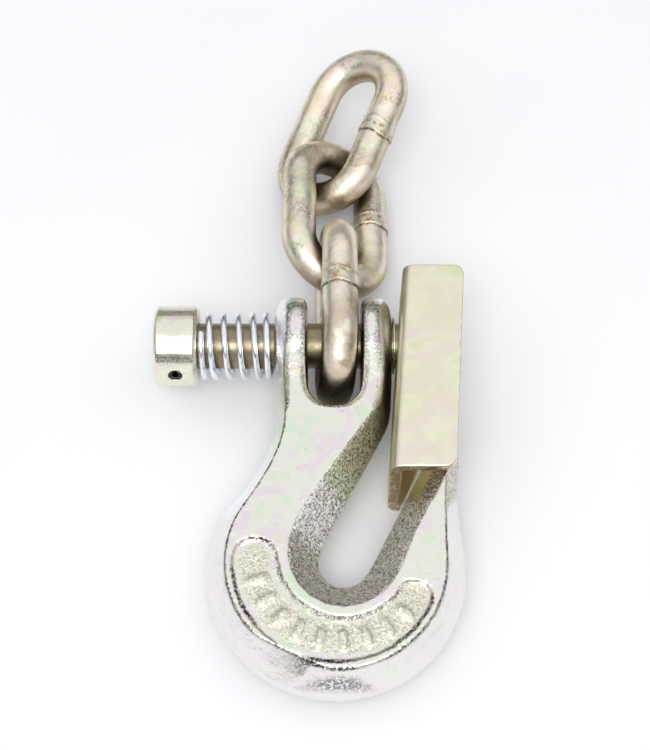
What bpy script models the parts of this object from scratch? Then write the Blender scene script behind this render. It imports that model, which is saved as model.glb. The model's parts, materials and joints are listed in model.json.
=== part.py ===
"""Forged safety chain hook with a sprung swing keeper and three chain links.

Everything is first drawn in the hook's own frame: the latch pin's axis is the X axis, the bow hangs
toward -Y, the chain leaves toward +Y and the hook's front face looks toward +Z. At the end the whole
set is laid down on the floor Z = 0, on the back of the bow and on the edge of the first link.
Lengths are in metres.
"""

import math

import bmesh
import bpy
import numpy as np
from mathutils import Matrix, Vector

MM = 0.001

# ---------------------------------------------------------------- driving dimensions
CHAIN_STOCK = 10.0 * MM
LINK_INNER_WIDTH = 14.0 * MM
LINK_INNER_LENGTH = 36.0 * MM
WELD_SWELL = 0.45 * MM
WELD_HALF_LENGTH = 3.2 * MM

HOOK_HALF_THICKNESS = 10.0 * MM
BOW_CENTRE = (0.3 * MM, -64.7 * MM)
BOW_RADIUS = 33.0 * MM
THROAT_CENTRE = (2.3 * MM, -62.8 * MM)
THROAT_RADIUS = 6.55 * MM
THROAT_LEAN = math.radians(26.7)
OUTER_INSET = 5.3 * MM
PANEL_OUTER_RADIUS = 25.9 * MM
PANEL_INNER_RADIUS = 16.7 * MM
PANEL_DEPTH = 0.7 * MM
PANEL_CENTRE = (1.2 * MM, -63.4 * MM)
PANEL_START = 183.0
PANEL_END = 329.5
BAR_COUNT = 9
BAR_HALF_LENGTH = 1.5 * MM
BAR_RADIUS = 0.9 * MM
BAR_HEIGHT = 0.5 * MM

CLEVIS_LEFT = -16.2 * MM
CLEVIS_RIGHT = 15.6 * MM
EAR_RADIUS = 13.5 * MM
EAR_ROUND = 6.2 * MM
SLOT_FLARE = 2.6 * MM
SLOT_FLARE_HEIGHT = 4.6 * MM
SLOT_HALF_WIDTH = 7.0 * MM
SLOT_BOTTOM = -22.0 * MM

PIN_DIAMETER = 12.4 * MM
PIN_HOLE_DIAMETER = 12.9 * MM
PIN_LEFT = -48.0 * MM
PIN_RIGHT = 20.9 * MM
COLLAR_LEFT = -48.4 * MM
COLLAR_RIGHT = -36.8 * MM
COLLAR_DIAMETER = 22.0 * MM
COLLAR_CHAMFER = 0.9 * MM
ROLL_PIN_DIAMETER = 3.5 * MM
ROLL_PIN_BORE = 1.9 * MM
ROLL_PIN_ANGLE = math.radians(75.0)

SPRING_OUTER_DIAMETER = 18.8 * MM
SPRING_WIRE = 1.8 * MM
SPRING_TURNS = 5.5
SPRING_DEAD_TURNS = 0.8

WASHER_DIAMETER = 15.6 * MM
WASHER_LEFT = 15.9 * MM
WASHER_RIGHT = 16.4 * MM

SHEET = 2.9 * MM
KEEPER_TOP = 18.0 * MM
KEEPER_BOTTOM = -41.3 * MM
KEEPER_HALF_DEPTH = 13.6 * MM
KEEPER_WEB_X = 17.2 * MM
KEEPER_WEB_LEAN = 0.078
KEEPER_EDGE_X = 34.0 * MM
KEEPER_EDGE_LEAN = 0.0703
KEEPER_BEND = 3.1 * MM
KEEPER_CORNER = 3.2 * MM
KEEPER_SKEW = 1.9 * MM
KEEPER_SKEW_START = -34.0 * MM

SLIDE_TRAVEL = 0.5 * MM
RELEASE_CLEARANCE = 0.2 * MM

# ---------------------------------------------------------------- resting pose of the chain
# Centre in the hook's frame, then turn about Z, X and the link's own length.
LINK_1_PITCH = math.radians(-4.2)
LINK_1_TWIST = math.radians(5.0)
LINK_1_SHIFT = 0.6 * MM
LINK_2_CENTRE = Vector((0.5, 44.7, -5.55)) * MM
LINK_2_TURN = (-0.1, -10.0, 30.8)
LINK_3_CENTRE = Vector((2.8, 75.75, -6.3)) * MM
LINK_3_TURN = (-22.5, 12.0, -26.5)


def clear_scene():
    for obj in list(bpy.data.objects):
        bpy.data.objects.remove(obj, do_unlink=True)


def make_material(name, colour, metallic, roughness):
    mat = bpy.data.materials.new(name)
    mat.use_nodes = True
    shader = mat.node_tree.nodes["Principled BSDF"]
    shader.inputs["Base Color"].default_value = (*colour, 1.0)
    shader.inputs["Metallic"].default_value = metallic
    shader.inputs["Roughness"].default_value = roughness
    mat.diffuse_color = (*colour, 1.0)
    return mat


def mesh_object(name, verts, faces, material=None):
    mesh = bpy.data.meshes.new(name)
    mesh.from_pydata([tuple(v) for v in verts], [], faces)
    mesh.update()
    bm = bmesh.new()
    bm.from_mesh(mesh)
    bmesh.ops.recalc_face_normals(bm, faces=bm.faces)
    bm.to_mesh(mesh)
    bm.free()
    obj = bpy.data.objects.new(name, mesh)
    bpy.context.collection.objects.link(obj)
    if material:
        mesh.materials.append(material)
    return obj


def loft(name, rings, material=None, closed=False):
    """Joins rings of equal length; open lofts get flat ends, closed ones meet their start."""
    count = len(rings[0])
    verts = [v for ring in rings for v in ring]
    faces = []
    spans = len(rings) if closed else len(rings) - 1
    for r in range(spans):
        a = r * count
        b = ((r + 1) % len(rings)) * count
        for i in range(count):
            j = (i + 1) % count
            faces.append((a + i, a + j, b + j, b + i))
    if not closed:
        faces.append(tuple(range(count)))
        faces.append(tuple(reversed(range((len(rings) - 1) * count, len(rings) * count))))
    return mesh_object(name, verts, faces, material)


def apply_modifiers(obj):
    bpy.context.view_layer.update()
    depsgraph = bpy.context.evaluated_depsgraph_get()
    mesh = bpy.data.meshes.new_from_object(obj.evaluated_get(depsgraph))
    old = obj.data
    obj.modifiers.clear()
    obj.data = mesh
    mesh.name = old.name
    bpy.data.meshes.remove(old)


def combine(obj, tool, operation):
    """Applies one exact Boolean and throws the tool away."""
    mod = obj.modifiers.new(operation.lower(), "BOOLEAN")
    mod.operation = operation
    mod.object = tool
    mod.solver = "EXACT"
    apply_modifiers(obj)
    bpy.data.objects.remove(tool, do_unlink=True)


def rod(name, x_start, x_end, radius, sides=48, chamfer=0.0, material=None):
    """A round bar along X, with both rims chamfered by the given amount."""
    stations = [(x_start, radius - chamfer), (x_end, radius - chamfer)]
    if chamfer > 0.0:
        stations = [
            (x_start, radius - chamfer),
            (x_start + chamfer, radius),
            (x_end - chamfer, radius),
            (x_end, radius - chamfer),
        ]
    rings = []
    for x, r in stations:
        rings.append([
            (x, r * math.cos(math.tau * k / sides), r * math.sin(math.tau * k / sides))
            for k in range(sides)
        ])
    return loft(name, rings, material)


def prism(name, outline, z_low, z_high):
    rings = [[(x, y, z) for x, y in outline] for z in (z_low, z_high)]
    return loft(name, rings)


def arc(centre, radius, start, end, count):
    return [
        (
            centre[0] + radius * math.cos(math.radians(start + (end - start) * k / (count - 1))),
            centre[1] + radius * math.sin(math.radians(start + (end - start) * k / (count - 1))),
        )
        for k in range(count)
    ]


def resample(points, count):
    """Even spacing along a closed outline, so that every level of a loft matches."""
    pts = np.array(points + [points[0]])
    steps = np.linalg.norm(np.diff(pts, axis=0), axis=1)
    along = np.concatenate([[0.0], np.cumsum(steps)])
    wanted = np.linspace(0.0, along[-1], count, endpoint=False)
    xs = np.interp(wanted, along, pts[:, 0])
    ys = np.interp(wanted, along, pts[:, 1])
    return np.stack([xs, ys], axis=1)


def smooth_closed(values, passes):
    for _ in range(passes):
        values = (np.roll(values, 1, axis=0) + 2.0 * values + np.roll(values, -1, axis=0)) / 4.0
    return values


# ---------------------------------------------------------------- hook body
def throat_axis():
    return np.array([math.sin(THROAT_LEAN), math.cos(THROAT_LEAN)])


def hook_outline():
    """The J at its parting plane, anticlockwise from the clevis's right side."""
    along = throat_axis()
    across = np.array([along[1], -along[0]])
    centre = np.array(THROAT_CENTRE)
    left_low = centre - across * THROAT_RADIUS
    right_low = centre + across * THROAT_RADIUS
    shank_top = left_low + along * ((-22.5 * MM - left_low[1]) / along[1])
    tip_end = right_low + along * ((-32.6 * MM - right_low[1]) / along[1])
    lean = math.degrees(THROAT_LEAN)

    top = [(CLEVIS_RIGHT - 0.1 * MM, -12.0 * MM), (CLEVIS_LEFT + 0.1 * MM, -12.0 * MM)]
    shank = [(-16.1, -19.0), (-15.5, -24.5), (-16.5, -30.0), (-19.1, -36.0), (-23.6, -43.2)]
    shank = [(x * MM, y * MM) for x, y in shank]
    bow = arc(BOW_CENTRE, BOW_RADIUS, 152.0, 363.0, 60)
    tip = [(32.2, -52.0), (31.7, -44.0), (32.2, -38.6), (33.4, -34.6), (33.0, -32.2), (30.6, -30.7)]
    tip = [(x * MM, y * MM) for x, y in tip]
    nose = [(27.4 * MM, -30.7 * MM), tuple(tip_end)]
    throat = arc(THROAT_CENTRE, THROAT_RADIUS, -lean, -180.0 - lean, 17)
    back = [tuple(shank_top)]
    return top + shank + bow + tip + nose + throat + back


def face_inset(points):
    """How far the flat face stands in from the parting line, all the way round."""
    lean_axis = throat_axis()
    across = np.array([lean_axis[1], -lean_axis[0]])
    inset = np.full(len(points), OUTER_INSET)
    for i, p in enumerate(points):
        rel = p - np.array(THROAT_CENTRE)
        side = rel @ across
        along = rel @ lean_axis
        if abs(side) < THROAT_RADIUS + 0.3 * MM and along < 52.0 * MM:
            if along < 0.0:
                inset[i] = 8.7 * MM
            elif side < 0.0:
                inset[i] = np.interp(along, [0.0, 0.008, 0.046], [8.0 * MM, 8.2 * MM, 2.8 * MM])
            else:
                inset[i] = np.interp(along, [0.0, 0.012, 0.035], [8.0 * MM, 6.7 * MM, 7.2 * MM])
        elif p[1] > -26.0 * MM:
            inset[i] = 2.9 * MM
        elif p[1] > -46.0 * MM and p[0] < 0.0:
            inset[i] = np.interp(p[1], [-46.0 * MM, -26.0 * MM], [4.6 * MM, 3.0 * MM])
        elif p[0] > 25.0 * MM and p[1] > -56.0 * MM:
            inset[i] = np.interp(p[1], [-56.0 * MM, -36.0 * MM], [4.2 * MM, 3.0 * MM])
    return smooth_closed(inset, 6)


def hook_levels(count=168):
    """Outlines of the J from its back face to its front face."""
    points = smooth_closed(resample(hook_outline(), count), 2)
    ahead = np.roll(points, -1, axis=0) - np.roll(points, 1, axis=0)
    ahead /= np.linalg.norm(ahead, axis=1)[:, None]
    inward = np.stack([-ahead[:, 1], ahead[:, 0]], axis=1)
    inset = face_inset(points)
    levels = []
    for height, share in ((1.0, 1.0), (0.93, 0.88), (0.55, 0.42), (0.15, 0.0)):
        moved = points + inward * (inset * share)[:, None]
        if share > 0.5:
            moved = smooth_closed(moved, 3)
        levels.append((HOOK_HALF_THICKNESS * height, moved))
    stack = [(-z, ring) for z, ring in levels] + [(z, ring) for z, ring in reversed(levels)]
    return [[(x, y, z) for x, y in ring] for z, ring in stack]


def clevis_block():
    """Two round ears still joined as one block, tapering down into the shank."""
    lower = [(-20.2 * MM, -9.9 * MM), (-20.2 * MM, 9.9 * MM)]
    side = [(-17.0 * MM, 9.95 * MM)]
    side += [(y, z) for y, z in arc((0.0, 0.0), EAR_RADIUS, 120.0, -120.0, 33)]
    side += [(-17.0 * MM, -9.95 * MM)]
    profile = lower + side
    rings = [[(x, y, z) for y, z in profile] for x in (CLEVIS_LEFT * 1.2, CLEVIS_RIGHT * 1.2)]
    block = loft("hook_block", rings)
    rings = []
    for y, flat, draft, narrow in (
        (-30.0, 1.0, 4.6, 1.2), (-20.2, 1.0, 4.6, 0.35), (-12.0, 4.0, 3.4, 0.0), (20.0, 4.0, 3.4, 0.0)
    ):
        rings.append(clevis_section(y * MM, flat * MM, draft * MM, narrow * MM))
    combine(block, loft("side_limit", rings), "INTERSECT")
    combine(block, ear_limit(), "INTERSECT")
    seat = rod("ear_seats", CLEVIS_LEFT, CLEVIS_RIGHT, 10.2 * MM, 40)
    combine(block, seat, "UNION")
    return block


def clevis_section(y, flat, draft, narrow):
    """Six-sided cross-section of the ears: widest at the parting plane, drafted to both faces."""
    right = CLEVIS_RIGHT - narrow
    left = CLEVIS_LEFT + narrow
    top = 13.6 * MM
    section = [
        (right, -flat), (right, flat), (right - draft, top), (left + draft, top),
        (left, flat), (left, -flat), (left + draft, -top), (right - draft, -top),
    ]
    return [(x, y, z) for x, z in section]


def ear_limit():
    """Rounds off the outer corners of the ears' free ends."""
    r = EAR_ROUND
    end = EAR_RADIUS + 0.2 * MM
    outline = [(CLEVIS_LEFT - 2 * MM, -30.0 * MM), (CLEVIS_RIGHT + 2 * MM, -30.0 * MM)]
    outline += [(CLEVIS_RIGHT + 2 * MM, end - r)]
    outline += arc((CLEVIS_RIGHT - r, end - r), r, 0.0, 90.0, 8)
    outline += arc((CLEVIS_LEFT + r, end - r), r, 90.0, 180.0, 8)
    outline += [(CLEVIS_LEFT - 2 * MM, end - r)]
    return prism("ear_limit", outline, -20.0 * MM, 20.0 * MM)


def clevis_slot():
    """The gap between the ears, with a full round end and a mouth that flares like a bell."""
    bottom = arc((0.0, SLOT_BOTTOM + SLOT_HALF_WIDTH), SLOT_HALF_WIDTH, 180.0, 360.0, 17)
    top = EAR_RADIUS + 0.2 * MM
    flare = []
    for angle in (90.0, 67.5, 45.0, 22.5, 0.0):
        out = SLOT_HALF_WIDTH + SLOT_FLARE * (1.0 - math.cos(math.radians(angle)))
        flare.append((out, top - SLOT_FLARE_HEIGHT * (1.0 - math.sin(math.radians(angle)))))
    right = [(x, y) for x, y in reversed(flare)]
    left = [(-x, y) for x, y in flare]
    outline = [(-SLOT_HALF_WIDTH - SLOT_FLARE, 20.0 * MM)] + left + bottom
    outline += right + [(SLOT_HALF_WIDTH + SLOT_FLARE, 20.0 * MM)]
    return prism("clevis_slot", outline, -20.0 * MM, 20.0 * MM)


def panel_frame(angle):
    """Middle, half width and outward direction of the panel at an angle about the bow."""
    a = math.radians(angle)
    out = np.array([math.cos(a), math.sin(a)])
    centre = np.array(PANEL_CENTRE)
    to_outer = ray_to_circle(centre, out, BOW_CENTRE, PANEL_OUTER_RADIUS)
    to_inner = ray_to_circle(centre, out, THROAT_CENTRE, PANEL_INNER_RADIUS)
    return centre + out * 0.5 * (to_outer + to_inner), 0.5 * (to_outer - to_inner), out


def panel_outline():
    """A sunk arc that follows the bow, with full round ends."""
    outer, inner = [], []
    for angle in np.linspace(PANEL_START, PANEL_END, 30):
        middle, half, out = panel_frame(angle)
        outer.append(tuple(middle + out * half))
        inner.append(tuple(middle - out * half))
    caps = []
    for angle, first in ((PANEL_END, 0.0), (PANEL_START, 180.0)):
        middle, half, out = panel_frame(angle)
        ahead = np.array([-out[1], out[0]])
        turns = [math.radians(first + 180.0 * k / 12) for k in range(1, 12)]
        caps.append([tuple(middle + half * (out * math.cos(t) + ahead * math.sin(t))) for t in turns])
    return outer + caps[0] + inner[::-1] + caps[1]


def bar_outline(angle):
    """A short raised bar across the panel, with full round ends."""
    middle, _, out = panel_frame(angle)
    ahead = np.array([-out[1], out[0]])
    points = []
    for end in (1.0, -1.0):
        for t in np.linspace(-0.5 * math.pi, 0.5 * math.pi, 6):
            swing = out * math.cos(t) + ahead * math.sin(t)
            points.append(tuple(middle + end * (out * BAR_HALF_LENGTH + swing * BAR_RADIUS)))
    return points


def ray_to_circle(origin, direction, centre, radius):
    rel = np.array(origin) - np.array(centre)
    half_b = rel @ direction
    return -half_b + math.sqrt(half_b ** 2 - rel @ rel + radius ** 2)


def build_hook(material):
    hook = loft("hook_body", hook_levels())
    combine(hook, clevis_block(), "UNION")
    combine(hook, clevis_slot(), "DIFFERENCE")
    hole = rod("pin_hole", -30.0 * MM, 30.0 * MM, PIN_HOLE_DIAMETER / 2, 48)
    combine(hook, hole, "DIFFERENCE")
    floor_z = HOOK_HALF_THICKNESS - PANEL_DEPTH
    panel = prism("panel", panel_outline(), floor_z, HOOK_HALF_THICKNESS + 2 * MM)
    combine(hook, panel, "DIFFERENCE")
    for angle in np.linspace(PANEL_START + 14.0, PANEL_END - 12.0, BAR_COUNT):
        bar = prism("bar", bar_outline(angle), floor_z - 1 * MM, floor_z + BAR_HEIGHT)
        combine(hook, bar, "UNION")
    hook.data.materials.clear()
    hook.data.materials.append(material)
    return hook


# ---------------------------------------------------------------- latch
def build_pin(material):
    pin = rod("latch_pin", PIN_LEFT, PIN_RIGHT, PIN_DIAMETER / 2, 48, 0.5 * MM, material)
    combine(pin, roll_pin_bore("pin_cross_hole"), "DIFFERENCE")
    return pin


def collar_middle():
    return 0.5 * (COLLAR_LEFT + COLLAR_RIGHT)


def turn_to_roll_pin(obj):
    """Stands a bar that lies along X up along the collar's cross hole."""
    turn = Matrix.Rotation(ROLL_PIN_ANGLE, 4, "X") @ Matrix.Rotation(math.radians(90.0), 4, "Y")
    obj.data.transform(Matrix.Translation((collar_middle(), 0.0, 0.0)) @ turn)
    return obj


def roll_pin_bore(name):
    reach = COLLAR_DIAMETER
    radius = ROLL_PIN_DIAMETER / 2 + 0.12 * MM
    return turn_to_roll_pin(rod(name, -reach, reach, radius, 24))


def build_collar(material):
    collar = rod("pin_collar", COLLAR_LEFT, COLLAR_RIGHT, COLLAR_DIAMETER / 2, 56,
                 COLLAR_CHAMFER, material)
    bore = rod("collar_bore", -60.0 * MM, -20.0 * MM, PIN_DIAMETER / 2 + 0.15 * MM, 48)
    combine(collar, bore, "DIFFERENCE")
    combine(collar, roll_pin_bore("collar_cross_hole"), "DIFFERENCE")
    return collar


def build_roll_pin(material):
    """A slotted spring tube driven through the collar and the pin."""
    half = COLLAR_DIAMETER / 2 - 0.4 * MM
    outer = ROLL_PIN_DIAMETER / 2
    inner = ROLL_PIN_BORE / 2
    steps = 20
    open_angle = math.radians(30.0)
    section = []
    for k in range(steps + 1):
        a = open_angle / 2 + (math.tau - open_angle) * k / steps
        section.append((outer * math.cos(a), outer * math.sin(a)))
    for k in range(steps, -1, -1):
        a = open_angle / 2 + (math.tau - open_angle) * k / steps
        section.append((inner * math.cos(a), inner * math.sin(a)))
    rings = [[(x, y, z) for y, z in section] for x in (-half, half)]
    return turn_to_roll_pin(loft("collar_roll_pin", rings, material))


def build_spring(material):
    """A compression spring with closed ends between the collar and the left ear."""
    wire = SPRING_WIRE / 2
    start = COLLAR_RIGHT + 0.15 * MM + wire
    end = CLEVIS_LEFT - 0.15 * MM - wire
    coil = SPRING_OUTER_DIAMETER / 2 - wire
    per_turn = 22
    count = int(SPRING_TURNS * per_turn)
    closed_pitch = SPRING_WIRE + 0.08 * MM
    dead = SPRING_DEAD_TURNS
    turns = np.linspace(0.0, SPRING_TURNS, count + 1)
    active = (end - start - 2 * dead * closed_pitch) / (SPRING_TURNS - 2 * dead)
    knots = [0.0, dead, SPRING_TURNS - dead, SPRING_TURNS]
    places = [start, start + dead * closed_pitch, end - dead * closed_pitch, end]
    xs = np.interp(turns, knots, places)
    rings = []
    for x, turn in zip(xs, turns):
        a = math.tau * turn
        out = Vector((0.0, -math.sin(a), math.cos(a)))
        tangent = Vector((active, -math.tau * coil * math.cos(a), -math.tau * coil * math.sin(a)))
        side = tangent.normalized().cross(out)
        centre = Vector((x, 0.0, 0.0)) + out * coil
        rings.append([
            centre + wire * (out * math.cos(t) + side * math.sin(t))
            for t in (math.tau * k / 8 for k in range(8))
        ])
    return loft("latch_spring", rings, material)


def build_washer(material):
    washer = rod("thrust_washer", WASHER_LEFT, WASHER_RIGHT, WASHER_DIAMETER / 2, 44,
                 0.12 * MM, material)
    bore = rod("washer_bore", 0.0, 40.0 * MM, PIN_DIAMETER / 2 + 0.2 * MM, 44)
    combine(washer, bore, "DIFFERENCE")
    return washer


def throat_edge_x(y):
    """X of the tip's throat-side parting line at a height y."""
    along = throat_axis()
    across = np.array([along[1], -along[0]])
    low = np.array(THROAT_CENTRE) + across * THROAT_RADIUS
    return low[0] + (y - low[1]) * along[0] / along[1]


def corner_cut(y, low, high, radius):
    """How far a rounded corner pulls an edge back at height y."""
    gap = min(y - low, high - y)
    if gap >= radius:
        return 0.0
    return radius - math.sqrt(max(radius ** 2 - (radius - gap) ** 2, 0.0))


def keeper_section(y):
    """The bent sheet seen along its length: front leaf, side web and shorter back leaf."""
    web = KEEPER_WEB_X + KEEPER_WEB_LEAN * y
    edge = KEEPER_EDGE_X + KEEPER_EDGE_LEAN * y
    front = edge - corner_cut(y, KEEPER_BOTTOM, KEEPER_TOP, KEEPER_CORNER)
    reach = min(max((KEEPER_SKEW_START - y) / (KEEPER_SKEW_START - KEEPER_BOTTOM), 0.0), 1.0)
    skew = KEEPER_SKEW * reach
    swept = -math.hypot(y - skew, KEEPER_HALF_DEPTH) if y < 0.0 else 0.0
    release = throat_edge_x(swept) - SLIDE_TRAVEL - RELEASE_CLEARANCE
    least = web + KEEPER_BEND + 0.05 * MM
    back = max(min(front, release), least)
    depth = KEEPER_HALF_DEPTH
    bend_in = KEEPER_BEND - SHEET
    points = [(front, depth), (front, depth - SHEET)]
    points += arc((web + KEEPER_BEND, depth - KEEPER_BEND), bend_in, 90.0, 180.0, 3)
    points += arc((web + KEEPER_BEND, KEEPER_BEND - depth), bend_in, 180.0, 270.0, 3)
    points += [(back, SHEET - depth), (back, -depth)]
    points += arc((web + KEEPER_BEND, KEEPER_BEND - depth), KEEPER_BEND, 270.0, 180.0, 6)
    points += arc((web + KEEPER_BEND, depth - KEEPER_BEND), KEEPER_BEND, 180.0, 90.0, 6)
    return [(x, y - 0.5 * skew * (1.0 - z / depth), z) for x, z in points]


def build_keeper(material):
    near_end = [0.0, 0.25, 0.7, 1.4, 2.3, 3.2]
    bottom = [KEEPER_BOTTOM + k * MM for k in near_end]
    top = [KEEPER_TOP - k * MM for k in reversed(near_end)]
    middle = [y * MM for y in (-34.0, -30.0, -26.0, -22.0, -18.0, -14.0, -8.0, 0.0, 8.0)]
    rings = [keeper_section(y) for y in bottom + middle + top]
    keeper = loft("keeper_channel", rings, material)
    hole = rod("keeper_hole", 12.0 * MM, 24.0 * MM, PIN_DIAMETER / 2 + 0.15 * MM, 40)
    combine(keeper, hole, "DIFFERENCE")
    return keeper


def build_weld(material):
    """The fillet that joins the pin's end to the inside of the web."""
    base = KEEPER_WEB_X + SHEET + 0.65 * MM
    bore = PIN_DIAMETER / 2 + 0.05 * MM
    sides = 40
    profile = [(0.0, bore), (0.0, bore + 2.2 * MM), (0.6 * MM, bore + 1.9 * MM),
               (1.3 * MM, bore + 1.2 * MM), (1.7 * MM, bore + 0.4 * MM), (1.7 * MM, bore)]
    rings = []
    for k in range(sides):
        a = math.tau * k / sides
        rings.append([(base + x, r * math.cos(a), r * math.sin(a)) for x, r in profile])
    return loft("keeper_weld", rings, material, closed=True)


# ---------------------------------------------------------------- chain
def link_half_straight():
    return 0.5 * (LINK_INNER_LENGTH - LINK_INNER_WIDTH)


def link_bend():
    return 0.5 * (LINK_INNER_WIDTH + CHAIN_STOCK)


def build_link(name, material, sides=14, bend_steps=15, leg_steps=9):
    """One welded oval link, long along Y, flat in X-Y, its weld halfway up the +X leg."""
    half = link_half_straight()
    bend = link_bend()
    path = []
    for k in range(leg_steps):
        path.append((bend, -half + 2 * half * k / leg_steps, 1.0, 0.0))
    for k in range(bend_steps):
        a = math.pi * k / bend_steps
        path.append((bend * math.cos(a), half + bend * math.sin(a), math.cos(a), math.sin(a)))
    for k in range(leg_steps):
        path.append((-bend, half - 2 * half * k / leg_steps, -1.0, 0.0))
    for k in range(bend_steps):
        a = math.pi + math.pi * k / bend_steps
        path.append((bend * math.cos(a), -half + bend * math.sin(a), math.cos(a), math.sin(a)))
    rings = []
    for x, y, nx, ny in path:
        swell = 0.0
        if x > 0.0 and abs(y) < WELD_HALF_LENGTH:
            swell = WELD_SWELL * math.cos(0.5 * math.pi * y / WELD_HALF_LENGTH)
        r = CHAIN_STOCK / 2 + swell
        ring = []
        for k in range(sides):
            t = math.tau * (k + 0.5) / sides
            out = r * math.cos(t)
            ring.append((x + nx * out, y + ny * out, r * math.sin(t)))
        rings.append(ring)
    return loft(name, rings, material, closed=True)


def link_turn(turn):
    yaw, pitch, roll = (math.radians(v) for v in turn)
    return (
        Matrix.Rotation(yaw, 4, "Z")
        @ Matrix.Rotation(pitch, 4, "X")
        @ Matrix.Rotation(roll, 4, "Y")
    )


def link_poses():
    half = link_half_straight()
    first_centre = Vector((LINK_1_SHIFT, half * math.cos(LINK_1_PITCH), half * math.sin(LINK_1_PITCH)))
    first_turn = (
        Matrix.Rotation(LINK_1_PITCH, 4, "X")
        @ Matrix.Rotation(math.radians(-90.0) + LINK_1_TWIST, 4, "Y")
    )
    return [
        Matrix.Translation(first_centre) @ first_turn,
        Matrix.Translation(LINK_2_CENTRE) @ link_turn(LINK_2_TURN),
        Matrix.Translation(LINK_3_CENTRE) @ link_turn(LINK_3_TURN),
    ]


# ---------------------------------------------------------------- laying down
def lying_matrix(objects, hook):
    """Tips the whole set back until the bow's back and the first link's edge share a floor."""
    low, high = math.radians(0.0), math.radians(12.0)
    link = next(o for o in objects if o.name == "chain_link_1")
    hook_pts = np.array([v.co for v in hook.data.vertices])
    link_pts = np.array([v.co for v in link.data.vertices])
    for _ in range(40):
        pitch = 0.5 * (low + high)
        up = np.array([0.0, math.sin(pitch), math.cos(pitch)])
        if (hook_pts @ up).min() < (link_pts @ up).min():
            high = pitch
        else:
            low = pitch
    turn = Matrix.Rotation(pitch, 4, "X")
    pts = np.array([turn @ v.co for o in objects for v in o.data.vertices])
    low_corner, high_corner = pts.min(axis=0), pts.max(axis=0)
    middle = 0.5 * (low_corner + high_corner)
    return Matrix.Translation((-middle[0], -middle[1], -low_corner[2])) @ turn


def set_origin(obj, point):
    obj.data.transform(Matrix.Translation(-point))
    obj.location = point


def finish_mesh(obj):
    bm = bmesh.new()
    bm.from_mesh(obj.data)
    bmesh.ops.remove_doubles(bm, verts=bm.verts, dist=0.02 * MM)
    bmesh.ops.triangulate(bm, faces=[f for f in bm.faces if len(f.verts) > 4])
    bmesh.ops.recalc_face_normals(bm, faces=bm.faces)
    bm.to_mesh(obj.data)
    bm.free()
    obj.data.shade_smooth()
    obj.data.set_sharp_from_angle(angle=math.radians(32.0))


def main():
    clear_scene()
    zinc = make_material("yellow_zinc_forging", (0.72, 0.66, 0.47), 1.0, 0.42)
    latch_zinc = make_material("yellow_zinc_latch", (0.74, 0.67, 0.42), 1.0, 0.34)
    chain_zinc = make_material("yellow_zinc_chain", (0.55, 0.47, 0.36), 1.0, 0.42)
    bright = make_material("bright_zinc_spring", (0.78, 0.82, 0.88), 1.0, 0.24)
    dark = make_material("dark_spring_steel", (0.06, 0.06, 0.07), 1.0, 0.45)

    hook = build_hook(zinc)
    latch = [
        build_pin(latch_zinc),
        build_collar(latch_zinc),
        build_roll_pin(dark),
        build_spring(bright),
        build_washer(latch_zinc),
        build_keeper(latch_zinc),
        build_weld(latch_zinc),
    ]
    links = []
    for number, pose in enumerate(link_poses(), start=1):
        link = build_link(f"chain_link_{number}", chain_zinc)
        link.data.transform(pose)
        links.append(link)
    objects = [hook] + latch + links
    for obj in objects:
        finish_mesh(obj)

    lay = lying_matrix(objects, hook)
    for obj in objects:
        obj.data.transform(lay)
    pivot = lay @ Vector((0.0, 0.0, 0.0))
    for obj in [hook] + latch:
        set_origin(obj, pivot)
    crown = Vector((0.0, link_half_straight() + link_bend(), 0.0))
    pivots = [pivot] + [lay @ (pose @ crown) for pose in link_poses()[:2]]
    for obj, point in zip(links, pivots):
        set_origin(obj, point)


main()
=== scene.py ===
"""Looks for the safety chain hook: fine surfaces and zinc-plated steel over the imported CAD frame."""

import json
import math

import bmesh
import bpy
import numpy as np
from mathutils import Euler, Matrix, Vector


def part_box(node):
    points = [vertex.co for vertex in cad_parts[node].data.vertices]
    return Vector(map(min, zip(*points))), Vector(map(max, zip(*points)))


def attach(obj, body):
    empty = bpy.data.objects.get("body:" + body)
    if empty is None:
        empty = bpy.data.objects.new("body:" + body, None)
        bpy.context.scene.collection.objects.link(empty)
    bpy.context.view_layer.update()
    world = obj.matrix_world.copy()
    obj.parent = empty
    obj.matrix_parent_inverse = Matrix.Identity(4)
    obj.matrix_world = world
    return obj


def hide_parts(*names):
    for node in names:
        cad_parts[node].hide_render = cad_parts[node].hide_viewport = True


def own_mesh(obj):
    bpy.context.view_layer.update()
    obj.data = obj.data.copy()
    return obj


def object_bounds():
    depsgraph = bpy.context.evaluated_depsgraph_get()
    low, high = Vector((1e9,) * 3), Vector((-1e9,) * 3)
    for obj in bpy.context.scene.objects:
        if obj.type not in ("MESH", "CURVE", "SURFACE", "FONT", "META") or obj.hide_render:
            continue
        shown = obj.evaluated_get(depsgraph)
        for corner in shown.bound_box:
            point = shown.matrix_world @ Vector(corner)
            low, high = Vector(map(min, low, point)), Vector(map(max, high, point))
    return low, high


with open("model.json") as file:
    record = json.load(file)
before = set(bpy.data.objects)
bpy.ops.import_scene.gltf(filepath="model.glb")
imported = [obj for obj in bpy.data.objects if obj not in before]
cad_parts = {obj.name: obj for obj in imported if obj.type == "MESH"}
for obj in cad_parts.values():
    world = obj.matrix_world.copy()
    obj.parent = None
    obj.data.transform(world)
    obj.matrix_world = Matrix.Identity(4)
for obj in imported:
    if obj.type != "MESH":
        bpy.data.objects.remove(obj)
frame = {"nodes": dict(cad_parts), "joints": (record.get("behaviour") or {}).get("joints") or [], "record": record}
CAD_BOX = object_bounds()
RECORD = frame["record"]

MM = 0.001

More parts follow.
